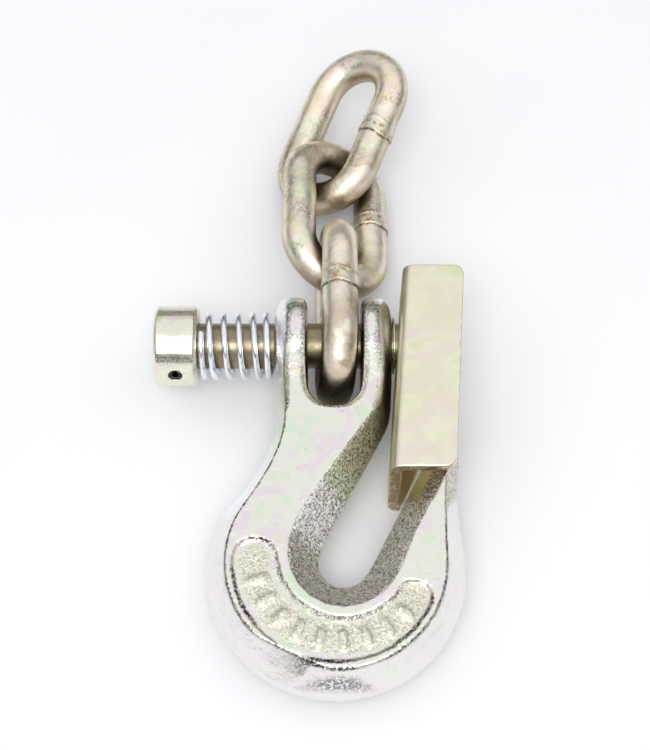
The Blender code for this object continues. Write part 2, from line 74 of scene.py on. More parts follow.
# The hook's own frame: X along the pin, Y up the shank, Z out of the face, origin on the pin axis.
PIVOT = Vector(next(j for j in frame["joints"] if j["name"] == "latch_swing")["pos_m"])
BACK_FACE = next(m for m in RECORD["mounts"] if m["name"] == "hook_back_face")
TILT = math.atan2(BACK_FACE["axis"][1], -BACK_FACE["axis"][2])

# Hook forging, in the hook's own frame.
HOOK_VOXEL = 0.4 * MM
THROAT_CENTRE = np.array([2.3 * MM, -62.8 * MM])
THROAT_LEAN = math.radians(26.7)
THROAT_ALONG = np.array([math.sin(THROAT_LEAN), math.cos(THROAT_LEAN)])
THROAT_RADIUS = 6.55 * MM
BEVEL_REACH = 10.5 * MM
SHANK_END = (-24.0 * MM, -20.0 * MM)
EAR_FOOT = -21.0 * MM
EAR_WEAR_ROUNDS = 170
PIN_HOLE_RIM = (7.4 * MM, 9.0 * MM)
SLOT_HALF_WIDTH = 7.0 * MM
SLOT_BOTTOM = -22.0 * MM
BOW_FOOT = (1.0 * MM, -95.0 * MM)
PANEL_CENTRE = np.array([1.2 * MM, -63.4 * MM])
PANEL_MID_RADIUS = 21.3 * MM
PANEL_HALF_WIDTH = 4.6 * MM
PANEL_ARC = (math.radians(183.0), math.radians(329.5))

# Keeper sheet, in the hook's own frame.
KEEPER_VOXEL = 0.32 * MM
KEEPER_HALF_GAP = 11.0 * MM
KEEPER_WEB_END = 23.0 * MM

# Chain links, each in its own frame. The skin is how far the looks stay inside the CAD stock.
CHAIN_STOCK = 10.0 * MM
LINK_SKIN = 0.05 * MM
LINK_INNER_WIDTH = 14.0 * MM
LINK_INNER_LENGTH = 36.0 * MM
CAD_LINK_FLAT = math.cos(math.pi / 14)
WELD_START = -0.6 * MM
WELD_UPSET = 0.3 * MM
WELD_LIP = 0.15 * MM
WELD_FAR_LIP = 0.16 * MM
WELD_RUN = 6.5 * MM
LINK_STATIONS = 560
LINK_SIDES = 56

# Spring wire, between the collar and the left ear.
SPRING_WIRE = 1.8 * MM
SPRING_TURNS = 5.5
SPRING_DEAD_TURNS = 0.8
SPRING_DEAD_GAP = 0.08 * MM
SPRING_PER_TURN = 72
SPRING_BLEND = 12
SPRING_SIDES = 20

# Brightness of the surroundings by the sine of the height above the horizon.
ROOM_LEVELS = [(0.0, 0.40), (0.08, 0.12), (0.34, 0.16), (0.56, 0.95), (0.80, 1.0), (1.0, 0.94)]
SWEEP_LEVELS = [(0.0, 1.0), (0.24, 1.0), (0.32, 0.08), (0.44, 0.12), (0.56, 0.95), (1.0, 0.94)]
SWEEP_SIDE = (-0.35, -0.75)
ROOM_STRENGTH = 0.97
LAMP_PLACE = (-0.08, -0.55, 0.95)
LAMP_SIZE = (0.6, 0.5)
LAMP_POWER = 4.2
FLOOR_REACH = 2.0
FLOOR_DROP = 0.02 * MM
FLOOR_GLOW = 0.085

CAMERA_AIM = PIVOT + Matrix.Rotation(TILT, 3, "X") @ Vector((-2.45 * MM, -8.84 * MM, 0.0))
CAMERA_TILT = TILT + math.radians(26.5)
CAMERA_DISTANCE = 0.4
CAMERA_LENS = 71.04


# ---------------------------------------------------------------- numbers
def smooth_step(values, low, high):
    t = np.clip((values - low) / (high - low), 0.0, 1.0)
    return t * t * (3.0 - 2.0 * t)


def window(values, low, high, soft):
    """1 between low and high, falling to 0 over soft on each side."""
    return smooth_step(values, low - soft, low) * (1.0 - smooth_step(values, high, high + soft))


def points_of(mesh):
    flat = np.zeros(len(mesh.vertices) * 3)
    mesh.vertices.foreach_get("co", flat)
    return flat.reshape(-1, 3)


def normals_of(mesh):
    flat = np.zeros(len(mesh.vertices) * 3)
    mesh.vertex_normals.foreach_get("vector", flat)
    return flat.reshape(-1, 3)


def to_hook(vectors):
    """Turns vectors, one a row, from the model's frame into the hook's own."""
    turn = np.array(Matrix.Rotation(-TILT, 3, "X"))
    return vectors @ turn.T


def in_hook_frame(obj):
    """Places and normals of a mesh's points in the hook's own frame."""
    return to_hook(points_of(obj.data) - np.array(PIVOT)), to_hook(normals_of(obj.data))


# ---------------------------------------------------------------- meshes
def piece_from(name, verts, faces):
    mesh = bpy.data.meshes.new(name)
    mesh.from_pydata([tuple(v) for v in verts], [], faces)
    obj = bpy.data.objects.new(name, mesh)
    bpy.context.scene.collection.objects.link(obj)
    return obj


def bake_modifiers(obj):
    """Replaces the mesh by what its modifiers make of it."""
    graph = bpy.context.evaluated_depsgraph_get()
    mesh = bpy.data.meshes.new_from_object(obj.evaluated_get(graph))
    obj.modifiers.clear()
    obj.data = mesh


def copy_of_node(name, node):
    """A separate copy of a CAD node, its split vertices joined again."""
    mesh = frame["nodes"][node].data.copy()
    mesh.materials.clear()
    bm = bmesh.new()
    bm.from_mesh(mesh)
    bmesh.ops.remove_doubles(bm, verts=bm.verts, dist=0.005 * MM)
    bm.to_mesh(mesh)
    bm.free()
    obj = bpy.data.objects.new(name, mesh)
    bpy.context.scene.collection.objects.link(obj)
    return obj


def fine_skin(obj, voxel, rounds):
    """An even fine mesh with every edge slightly rounded."""
    remesh = obj.modifiers.new("even_mesh", "REMESH")
    remesh.mode = "VOXEL"
    remesh.voxel_size = voxel
    rounding = obj.modifiers.new("rounding", "SMOOTH")
    rounding.factor = 0.5
    rounding.iterations = rounds
    bake_modifiers(obj)


def pitted(obj, grain, depth, group=""):
    """Sinks the surface by up to depth in a cloudy pattern, so that it never grows."""
    clouds = bpy.data.textures.new("pits", "CLOUDS")
    clouds.noise_scale = grain
    clouds.noise_depth = 2
    pits = obj.modifiers.new("pits", "DISPLACE")
    pits.texture = clouds
    pits.texture_coords = "LOCAL"
    pits.mid_level = 1.0
    pits.strength = depth
    pits.vertex_group = group
    bake_modifiers(obj)


def store(obj, name, values):
    """Keeps one number a vertex for the material."""
    attribute = obj.data.attributes.new(name, "FLOAT", "POINT")
    attribute.data.foreach_set("value", values.astype(np.float32))


def weight_group(obj, name, values):
    """Keeps one number a vertex for the modifiers, rounded to eighths."""
    group = obj.vertex_groups.new(name=name)
    steps = 8
    for level in range(1, steps + 1):
        chosen = np.nonzero(np.round(values * steps) == level)[0]
        if len(chosen):
            group.add(chosen.tolist(), level / steps, "REPLACE")


def tube_faces(rings, sides, closed):
    """Faces between rings of points, joined end to end or capped."""
    faces = []
    for i in range(rings if closed else rings - 1):
        j = (i + 1) % rings
        for k in range(sides):
            m = (k + 1) % sides
            faces.append((i * sides + k, j * sides + k, j * sides + m, i * sides + m))
    if not closed:
        faces.append(tuple(range(sides)))
        faces.append(tuple((rings - 1) * sides + k for k in reversed(range(sides))))
    return faces


def outward(obj):
    """Turns every face of a closed mesh outward."""
    bm = bmesh.new()
    bm.from_mesh(obj.data)
    bmesh.ops.recalc_face_normals(bm, faces=bm.faces)
    bm.to_mesh(obj.data)
    bm.free()


# ---------------------------------------------------------------- hook
def throat_distance(flat):
    """Distance in the hook's plane from the throat's centre line."""
    rel = flat - THROAT_CENTRE
    run = np.clip(rel @ THROAT_ALONG, 0.0, None)
    return np.linalg.norm(rel - run[:, None] * THROAT_ALONG, axis=1)


def panel_distance(flat):
    """Distance in the hook's plane from the sunk arc panel's middle line."""
    rel = flat - PANEL_CENTRE
    angle = np.mod(np.arctan2(rel[:, 1], rel[:, 0]), math.tau)
    held = np.clip(angle, *PANEL_ARC)
    line = PANEL_MID_RADIUS * np.stack([np.cos(held), np.sin(held)], axis=1)
    return np.linalg.norm(rel - line, axis=1)


def round_ears(obj):
    """Wears the ears into rounded fingers, but leaves the pin hole's rim as it is."""
    place, _ = in_hook_frame(obj)
    ears = smooth_step(place[:, 1], EAR_FOOT - 3 * MM, EAR_FOOT)
    ears *= smooth_step(np.hypot(place[:, 1], place[:, 2]), *PIN_HOLE_RIM)
    weight_group(obj, "ears", ears)
    wear = obj.modifiers.new("wear", "SMOOTH")
    wear.factor = 0.5
    wear.iterations = EAR_WEAR_ROUNDS
    wear.vertex_group = "ears"
    bake_modifiers(obj)


def throat_sides(place):
    """Each point's run up the throat from its seat, and its offset to the tip's side."""
    rel = place[:, :2] - THROAT_CENTRE
    return rel @ THROAT_ALONG, rel @ np.array([THROAT_ALONG[1], -THROAT_ALONG[0]])


def store_throat_zones(obj, place, lean):
    """Marks the bands up the throat's walls where the film has turned; the umber band, on the tip's side and at
    the seat, is painted shade.
    """
    run, side = throat_sides(place)
    sloped = 1.0 - smooth_step(np.abs(lean[:, 2]), 0.93, 0.985)
    tip = smooth_step(side, -1 * MM, 1 * MM)
    shank = (1.0 - tip) * sloped
    store(obj, "olive_zone", shank * window(run, 24 * MM, 38 * MM, 5 * MM))
    store(obj, "green_zone", shank * window(run, 17 * MM, 20 * MM, 4 * MM))
    store(obj, "ash_zone", shank * window(run, 2 * MM, 13 * MM, 6 * MM))
    # painted shade: brown on the tip's side of the throat and at its seat
    store(obj, "umber_shade_zone", sloped * np.maximum(tip, 1.0 - smooth_step(run, -6 * MM, -2 * MM)))


def store_slot_painted_shade(obj, place, lean):
    """Marks the walls of the clevis slot, which get a painted shade, nearly black."""
    slot = window(place[:, 0], -SLOT_HALF_WIDTH - MM, SLOT_HALF_WIDTH + MM, 0.5 * MM)
    slot *= smooth_step(place[:, 1], SLOT_BOTTOM - MM, SLOT_BOTTOM)
    slot *= 1.0 - smooth_step(lean[:, 2], 0.35, 0.75)
    store(obj, "slot_painted_shade", slot * (1.0 - smooth_step(place[:, 1], -6 * MM, 6 * MM)))


def store_tip_zones(obj, place):
    """Marks the polished strip on the tip under the keeper, and beside it a painted shade of the keeper's shadow
    and dark reflection; gives the strip.
    """
    run, side = throat_sides(place)
    under = smooth_step(run, 21 * MM, 24 * MM) * smooth_step(side, -1 * MM, 1 * MM)
    strip = under * (1.0 - smooth_step(side, 9.4 * MM, 10.2 * MM))
    store(obj, "tip_strip", strip)
    # painted shade from the keeper on the tip
    store(obj, "tip_painted_shade", under * window(side, 10.4 * MM, 13.6 * MM, 0.8 * MM))
    return strip


def dark_reflections_and_patch(place, lean):
    """1 where dark reflections are painted along the face's outer edges, and in a dark patch under the bow."""
    x, y, z = place.T
    up = lean[:, 2]
    run, side = throat_sides(place)
    ears = smooth_step(y, *SHANK_END)
    beside = THROAT_RADIUS + 9 * MM
    throat = window(side, -beside, beside, 1 * MM) * smooth_step(run, -12 * MM, -9 * MM)
    edge = window(up, 0.80, 0.955, 0.03) * (z > 0.0) * np.maximum(1.0 - throat, ears)
    edge *= 1.0 - 0.5 * ears
    bow_edge = window(up, 0.66, 0.965, 0.02) * (y < THROAT_CENTRE[1] - 18 * MM)
    bow_edge *= 1.0 - smooth_step(np.abs(x - 4 * MM), 9 * MM, 17 * MM)
    rim = PANEL_HALF_WIDTH - 0.6 * MM
    unsunk = smooth_step(panel_distance(place[:, :2]), rim - 0.6 * MM, rim)
    off_foot = np.hypot(0.7 * (x - BOW_FOOT[0]), 4.5 * (y - BOW_FOOT[1]))
    patch = (1.0 - smooth_step(off_foot, 2 * MM, 9 * MM)) * window(up, 0.25, 0.64, 0.05)
    return np.maximum(unsunk * np.maximum(edge, bow_edge), 0.75 * patch * (up > 0.2))


def build_hook():
    """The forging: rounded ears, sandy skin on the throat's bevel and the panel's floor, fine pits."""
    obj = copy_of_node("hook_forging", "hook_body")
    fine_skin(obj, HOOK_VOXEL, 10)
    round_ears(obj)
    place, lean = in_hook_frame(obj)
    slope = np.abs(lean[:, 2])
    reach = THROAT_RADIUS + BEVEL_REACH
    bevel = 1.0 - smooth_step(throat_distance(place[:, :2]), reach, reach + 2 * MM)
    bevel *= (1.0 - smooth_step(slope, 0.93, 0.98)) * (1.0 - smooth_step(place[:, 1], *SHANK_END))
    panel = panel_distance(place[:, :2])
    floor = 1.0 - smooth_step(panel, PANEL_HALF_WIDTH - 1.4 * MM, PANEL_HALF_WIDTH)
    floor *= smooth_step(place[:, 2], 0.0, 2 * MM)
    weight_group(obj, "bevel", bevel)
    pitted(obj, 6.0 * MM, 0.12 * MM)
    pitted(obj, 1.0 * MM, 0.26 * MM, "bevel")
    pitted(obj, 0.9 * MM, 0.05 * MM)
    store_throat_zones(obj, place, lean)
    store_slot_painted_shade(obj, place, lean)
    strip = store_tip_zones(obj, place)
    store(obj, "dark_reflection_and_patch", dark_reflections_and_patch(place, lean))
    store(obj, "rough_skin", np.maximum(bevel * (1.0 - 0.8 * strip), 0.45 * floor))
    store(obj, "panel_floor", floor)
    store(obj, "side_wall", (1.0 - smooth_step(slope, 0.6, 0.95)) * (1.0 - bevel))
    return obj


# ---------------------------------------------------------------- chain
def link_axes(node):
    """Centre and long, wide and thin directions of a CAD link; its weld is on the +wide leg."""
    points = np.unique(np.round(points_of(frame["nodes"][node].data), 6), axis=0)
    centre = points.mean(axis=0)
    thin, wide, long = np.linalg.eigh(np.cov((points - centre).T))[1].T
    long = long * (1.0 if long[1] > 0 else -1.0)
    reach = (points - centre) @ wide
    # The welded leg has more stations, which draw the mean towards it.
    wide = wide * (-1.0 if reach.max() + reach.min() > 0 else 1.0)
    reach = (points - centre) @ wide
    plain_side = 0.5 * (LINK_INNER_WIDTH + CHAIN_STOCK + CHAIN_STOCK * CAD_LINK_FLAT)
    centre = centre + (reach.min() + plain_side) * wide
    return centre, long, wide, np.cross(wide, long)


def link_path():
    """Stations round a link: (wide, long, outward wide, outward long)."""
    half = 0.5 * (LINK_INNER_LENGTH - LINK_INNER_WIDTH)
    bend = 0.5 * (LINK_INNER_WIDTH + CHAIN_STOCK)
    whole = 4 * half + math.tau * bend
    stations = []
    for k in range(LINK_STATIONS):
        s = whole * k / LINK_STATIONS
        turned = (s - 2 * half) / bend
        back = (s - 4 * half - math.pi * bend) / bend
        if s < 2 * half:
            stations.append((bend, s - half, 1.0, 0.0))
        elif turned < math.pi:
            c, n = math.cos(turned), math.sin(turned)
            stations.append((bend * c, half + bend * n, c, n))
        elif back < 0.0:
            run = s - 2 * half - math.pi * bend
            stations.append((-bend, half - run, -1.0, 0.0))
        else:
            c, n = -math.cos(back), -math.sin(back)
            stations.append((bend * c, -half + bend * n, c, n))
    return np.array(stations)


def weld_edge(angle, wobble):
    """Where the butt weld begins along the leg: a wavy line round the stock."""
    wave = 0.35 * MM * np.sin(2 * angle + wobble) + 0.2 * MM * np.sin(5 * angle + 2 * wobble)
    return WELD_START + wave


def ridge(values, middle, width):
    """A smooth ridge, 1 at its middle."""
    return np.exp(-((values - middle) / width) ** 2)


def weld_swell(run, edge, angle, wobble):
    """Extra stock radius of the butt weld: a low lip, a slow upset behind it and a far lip."""
    inside = run - edge
    collar = window(inside, 0.0, 1.2 * MM, 0.12 * MM)
    slope = smooth_step(inside, -0.12 * MM, 0.1 * MM) * (1.0 - smooth_step(inside, 1.0 * MM, WELD_RUN))
    lip = WELD_LIP * ridge(inside, 0.45 * MM, 0.4 * MM) * (0.7 + 0.3 * np.sin(3 * angle + wobble))
    far_lip = WELD_FAR_LIP * ridge(inside, 4.3 * MM, 0.35 * MM)
    return WELD_UPSET * np.maximum(collar, slope) + lip + far_lip


def build_link(name, node, wobble, shaded_end):
    """A round-stock link with its butt weld; shaded_end is the sign of the side of the crown with painted shade.
    """
    centre, long, wide, thin = link_axes(node)
    angles = math.tau * np.arange(LINK_SIDES) / LINK_SIDES
    edge = weld_edge(angles, wobble)
    verts, welds, seams, shade_runs = [], [], [], []
    for across, along, out_across, out_along in link_path():
        welded = out_along == 0.0 and out_across > 0.0
        swell = weld_swell(along, edge, angles, wobble) if welded else np.zeros(LINK_SIDES)
        radius = CHAIN_STOCK / 2 - LINK_SKIN + swell
        out = radius * np.cos(angles)
        ring = centre + np.outer(across + out_across * out, wide)
        verts.extend(ring + np.outer(along + out_along * out, long)
                     + np.outer(radius * np.sin(angles), thin))
        welds.extend([ridge(along, 1.8 * MM, 3.4 * MM) * welded] * LINK_SIDES)
        seams.extend(ridge(along - edge, -0.25 * MM, 0.3 * MM) * welded)
        # painted shade runs towards one crown
        shade_runs.extend([shaded_end * along] * LINK_SIDES)
    obj = piece_from(name, verts, tube_faces(LINK_STATIONS, LINK_SIDES, True))
    outward(obj)
    pitted(obj, 4.0 * MM, 0.12 * MM)
    pitted(obj, 0.9 * MM, 0.05 * MM)
    store(obj, "weld_zone", np.array(welds))
    store(obj, "seam_zone", np.array(seams))
    store(obj, "crown_shade_zone", smooth_step(np.array(shade_runs), -2 * MM, 13 * MM))
    return obj


# ---------------------------------------------------------------- latch
def build_spring():
    """Open coils between two dead turns, in the CAD spring's box."""
    low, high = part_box("latch_spring")
    wire = 0.5 * SPRING_WIRE
    start, end = low.x + wire, high.x - wire
    coil = 0.5 * (high.y - low.y) - wire
    closed = SPRING_WIRE + SPRING_DEAD_GAP
    turns = np.linspace(0.0, SPRING_TURNS, int(SPRING_TURNS * SPRING_PER_TURN))
    dead = SPRING_DEAD_TURNS
    xs = np.interp(turns, [0.0, dead, SPRING_TURNS - dead, SPRING_TURNS],
                   [start, start + dead * closed, end - dead * closed, end])
    spread = 2 * SPRING_BLEND + 1
    xs = np.convolve(np.pad(xs, SPRING_BLEND, mode="edge"), np.ones(spread) / spread, mode="valid")
    angle = math.tau * turns
    turn = np.array(Matrix.Rotation(TILT, 3, "X"))
    out = np.stack([np.zeros_like(angle), -np.sin(angle), np.cos(angle)], axis=1) @ turn.T
    middle = np.stack([xs, np.full_like(xs, PIVOT.y), np.full_like(xs, PIVOT.z)], axis=1) + coil * out
    ahead = np.gradient(middle, axis=0)
    ahead /= np.linalg.norm(ahead, axis=1)[:, None]
    side = np.cross(ahead, out)
    side /= np.linalg.norm(side, axis=1)[:, None]
    verts = []
    for centre, outer, sideways in zip(middle, out, side):
        for k in range(SPRING_SIDES):
            around = math.tau * k / SPRING_SIDES
            verts.append(centre + wire * (outer * math.cos(around) + sideways * math.sin(around)))
    obj = piece_from("spring_wire", verts, tube_faces(len(turns), SPRING_SIDES, False))
    outward(obj)
    return obj


def inner_side(place, lean):
    """1 on the channel's inner faces, which see little light and stay brown."""
    within = 1.0 - smooth_step(np.abs(place[:, 2]), KEEPER_HALF_GAP, KEEPER_HALF_GAP + 1 * MM)
    web = smooth_step(lean[:, 0], 0.5, 0.9) * within
    web *= 1.0 - smooth_step(place[:, 0], KEEPER_WEB_END, KEEPER_WEB_END + 2 * MM)
    leaf = smooth_step(-lean[:, 2] * np.sign(place[:, 2]), 0.5, 0.9)
    return np.maximum(web, leaf)


def build_keeper():
    """The bent sheet, with a ragged sheared end."""
    obj = copy_of_node("keeper_sheet", "keeper_channel")
    fine_skin(obj, KEEPER_VOXEL, 4)
    pitted(obj, 9.0 * MM, 0.14 * MM)
    place, _ = in_hook_frame(obj)
    low = place[:, 1].min()
    sheared = 1.0 - smooth_step(place[:, 1], low + 0.4 * MM, low + 1.6 * MM)
    weight_group(obj, "sheared", sheared)
    pitted(obj, 0.8 * MM, 0.35 * MM, "sheared")
    place, lean = in_hook_frame(obj)
    end = smooth_step(-lean[:, 1], 0.6, 0.85) * (place[:, 1] < low + 4 * MM)
    store(obj, "cut_face", end)
    rim = np.maximum(sheared, smooth_step(np.abs(lean[:, 1]), 0.75, 0.95))
    store(obj, "cut_edge", rim * (1.0 - end))
    store(obj, "inner_face", inner_side(place, lean))
    # painted shade on the web's outer face, less towards the top
    web = smooth_step(-lean[:, 0], 0.4, 0.9)
    store(obj, "web_painted_shade", web * (1.0 - 0.5 * smooth_step(place[:, 1], -20 * MM, 10 * MM)))
    return obj


def build_turned(name, node, voxel, rounds):
    """A turned or welded piece with its edges broken and a faintly uneven skin."""
    obj = copy_of_node(name, node)
    fine_skin(obj, voxel, rounds)
    pitted(obj, 3.0 * MM, 0.04 * MM)
    return obj


# ---------------------------------------------------------------- materials
CREVICE_SAMPLES = 8
CREVICE_SPAN = 0.4
FILM_RANGE = (0.34, 0.66)


class Shader:
    """A Principled material and short helpers that add nodes to it."""

    def __init__(self, name, metallic=1.0):
        self.material = bpy.data.materials.new(name)
        self.material.use_nodes = True
        self.tree = self.material.node_tree
        self.surface = self.tree.nodes["Principled BSDF"]
        self.surface.inputs["Metallic"].default_value = metallic
        self.place = self.add("ShaderNodeTexCoord").outputs["Object"]

    def add(self, kind, **settings):
        """A new node with the given settings."""
        node = self.tree.nodes.new(kind)
        for key, value in settings.items():
            setattr(node, key, value)
        return node

    def feed(self, socket, value):
        """Links a socket to value, or sets it when value is a plain number or colour."""
        if isinstance(value, bpy.types.NodeSocket):
            self.tree.links.new(value, socket)
        else:
            socket.default_value = value

    def noise(self, size, detail=3.0, distortion=0.0, rough=0.5, stretch=(1.0, 1.0, 1.0)):
        """Noise from 0 to 1 whose blotches are about size across."""
        vector = self.place
        if stretch != (1.0, 1.0, 1.0):
            mapping = self.add("ShaderNodeMapping")
            mapping.inputs["Scale"].default_value = stretch
            self.feed(mapping.inputs["Vector"], vector)
            vector = mapping.outputs["Vector"]
        node = self.add("ShaderNodeTexNoise")
        self.feed(node.inputs["Vector"], vector)
        node.inputs["Scale"].default_value = 1.0 / size
        node.inputs["Detail"].default_value = detail
        node.inputs["Roughness"].default_value = rough
        node.inputs["Distortion"].default_value = distortion
        return node.outputs["Fac"]

    def ramp(self, value, stops):
        """Colours by value: stops are pairs of a place and a colour."""
        node = self.add("ShaderNodeValToRGB")
        self.feed(node.inputs["Fac"], value)
        fill_ramp(node, stops)
        return node.outputs["Color"]

    def fit(self, value, low, high, to_low=0.0, to_high=1.0):
        """Carries value smoothly from one range to another."""
        node = self.add("ShaderNodeMapRange", interpolation_type="SMOOTHSTEP")
        self.feed(node.inputs["Value"], value)
        for socket, number in zip(("From Min", "From Max", "To Min", "To Max"),
                                  (low, high, to_low, to_high)):
            node.inputs[socket].default_value = number
        return node.outputs["Result"]

    def math(self, operation, first, second):
        node = self.add("ShaderNodeMath", operation=operation)
        self.feed(node.inputs[0], first)
        self.feed(node.inputs[1], second)
        return node.outputs["Value"]

    def times(self, first, second):
        return self.math("MULTIPLY", first, second)

    def split(self, vector):
        """The X, Y and Z outputs of a vector."""
        node = self.add("ShaderNodeSeparateXYZ")
        self.feed(node.inputs["Vector"], vector)
        return node.outputs

    def mix(self, share, first, second):
        """A colour that goes from first to second by share."""
        node = self.add("ShaderNodeMix", data_type="RGBA")
        self.feed(node.inputs["Factor"], share)
        a, b, mixed = mix_sockets(node)
        self.feed(a, value_or_colour(first))
        self.feed(b, value_or_colour(second))
        return mixed

    def stored(self, name):
        """A number kept on the mesh's vertices."""
        return self.add("ShaderNodeAttribute", attribute_name=name).outputs["Fac"]

    def tinted(self, tint, zone, share, colour):
        """Tint with a share of colour over a stored zone."""
        return self.mix(self.times(self.stored(zone), share), tint, colour)

    def uneven(self, size, low, high):
        """A roughness that drifts between two values."""
        return self.fit(self.noise(size, 3.0), 0.3, 0.7, low, high)

    def crevice_shade(self, reach, shut, share):
        """Painted shade: 0 in the open, share where other surfaces within reach close in."""
        node = self.add("ShaderNodeAmbientOcclusion", samples=CREVICE_SAMPLES)
        node.inputs["Distance"].default_value = reach
        return self.fit(node.outputs["AO"], shut + CREVICE_SPAN, shut, 0.0, share)

    def bump(self, height, depth, strength=1.0, after=None):
        """A bumped normal, on top of another one if after is given."""
        node = self.add("ShaderNodeBump")
        self.feed(node.inputs["Height"], height)
        node.inputs["Distance"].default_value = depth
        self.feed(node.inputs["Strength"], strength)
        if after is not None:
            self.feed(node.inputs["Normal"], after)
        return node.outputs["Normal"]

    def finish(self, colour, roughness, normal, metallic=None):
        """Connects the surface and gives the material."""
        if metallic is not None:
            self.feed(self.surface.inputs["Metallic"], metallic)
        self.feed(self.surface.inputs["Base Color"], colour)
        self.feed(self.surface.inputs["Roughness"], roughness)
        self.feed(self.surface.inputs["Normal"], normal)
        return self.material


def value_or_colour(value):
    """Adds the alpha to a plain colour and lets a socket through."""
    return (*value, 1.0) if isinstance(value, tuple) else value


def mix_sockets(node):
    """The two colour inputs and the colour output of a mix node."""
    a, b = [s for s in node.inputs if s.type == "RGBA"]
    return a, b, next(s for s in node.outputs if s.type == "RGBA")


def fill_ramp(node, stops):
    """Gives a colour ramp its stops, pairs of a place and a colour."""
    elements = node.color_ramp.elements
    while len(elements) < len(stops):
        elements.new(0.5)
    for element, (place, colour) in zip(elements, stops):
        element.position = place
        element.color = (*colour, 1.0)


def zinc_tints(shader, size, tints):
    """Slow drifting interference colours of a chromate film, in two scales."""
    wide = shader.noise(size, 2.0, 1.2)
    fine = shader.noise(size / 3.5, 3.0, 0.8)
    value = shader.math("ADD", shader.times(wide, 0.65), shader.times(fine, 0.35))
    first, last = FILM_RANGE
    step = (last - first) / (len(tints) - 1)
    return shader.ramp(value, [(first + step * k, tint) for k, tint in enumerate(tints)])


def forging_material():
    """Clear zinc film over forged steel: glossy on the band, dark and grainy on the rough skin."""
    s = Shader("yellow_zinc_forging")
    cream, green = (0.84, 0.85, 0.76), (0.74, 0.86, 0.68)
    pink, straw = (0.86, 0.77, 0.82), (0.85, 0.83, 0.64)
    tint = zinc_tints(s, 14 * MM, [green, green, cream, cream, cream, pink, pink, straw])
    rough_skin = s.stored("rough_skin")
    sandy = zinc_tints(s, 8 * MM, [(0.72, 0.74, 0.52), (0.74, 0.66, 0.58), (0.76, 0.84, 0.62),
                                   (0.78, 0.70, 0.66)])
    tint = s.mix(s.times(rough_skin, 0.85), tint, sandy)
    for zone, colour, share in (
        # umber: painted shade on the tip's side of the throat and at its seat
        ("umber_shade_zone", (0.66, 0.60, 0.50), 0.75), ("ash_zone", (1.0, 1.0, 1.0), 1.0),
        ("green_zone", (0.80, 1.0, 0.66), 0.95), ("olive_zone", (0.54, 0.54, 0.32), 0.85),
        # the tip's dark mark under the keeper is painted shade
        ("tip_strip", (0.80, 0.83, 0.38), 0.9), ("tip_painted_shade", (0.30, 0.23, 0.15), 0.85),
        # the slot's walls: painted shade, nearly black
        ("slot_painted_shade", (0.05, 0.035, 0.02), 1.0),
    ):
        tint = s.tinted(tint, zone, share, colour)
    panel = s.stored("panel_floor")
    tint = s.mix(s.times(panel, 0.8), tint, (0.66, 0.65, 0.51))
    # the draft band's whiter film: partly real film tint, partly a painted highlight on the band's slopes
    band_film_and_highlight = zinc_tints(s, 12 * MM, [(0.88, 0.98, 0.92), (0.97, 0.96, 1.0), (0.98, 0.90, 1.0)])
    tint = s.tinted(tint, "side_wall", 0.58, band_film_and_highlight)
    grains = s.noise(0.62 * MM, 4.0, 0.4, 0.7)
    specks = s.fit(s.noise(0.9 * MM, 4.0, 0.4, 0.62), 0.60, 0.70)
    patches = s.fit(s.noise(11 * MM, 2.0), 0.5, 0.62, 0.05, 0.4)
    tint = s.mix(s.times(specks, patches), tint, (0.30, 0.27, 0.18))
    # painted reflection: nearly black lines along the face's outer edges, picked by how each surface faces; also a
    # dark patch under the bow
    painted_dark = s.times(s.stored("dark_reflection_and_patch"), s.fit(s.noise(7 * MM, 2.0), 0.30, 0.50))
    painted_dark = s.times(painted_dark, s.fit(grains, 0.43, 0.51))
    tint = s.mix(painted_dark, tint, (0.05, 0.05, 0.05))
    sparkle = s.times(s.fit(grains, 0.48, 0.55), s.times(rough_skin, 0.85))
    tint = s.mix(sparkle, tint, (0.96, 0.94, 0.90))
    frosted = s.times(sparkle, s.fit(s.stored("ash_zone"), 0.0, 1.0, 0.16, 0.85))
    hollows = s.times(s.fit(grains, 0.49, 0.43), s.times(rough_skin, 0.8))
    tint = s.mix(hollows, tint, (0.20, 0.18, 0.13))
    # painted shade in crevices
    tint = s.mix(s.crevice_shade(7 * MM, 0.2, 0.8), tint, (0.13, 0.10, 0.06))
    roughness = s.math("ADD", s.uneven(5 * MM, 0.18, 0.28), s.times(panel, 0.16))
    peel = s.bump(s.noise(2.2 * MM, 4.0, 0.6), 0.34 * MM, 0.6)
    grain = s.bump(s.noise(0.5 * MM, 4.0, 0.3, 0.6), 0.10 * MM, 0.7, peel)
    cast = s.bump(s.noise(0.5 * MM, 4.0, 0.5, 0.65), 0.26 * MM, rough_skin, grain)
    return s.finish(tint, roughness, cast, s.math("SUBTRACT", 1.0, frosted))


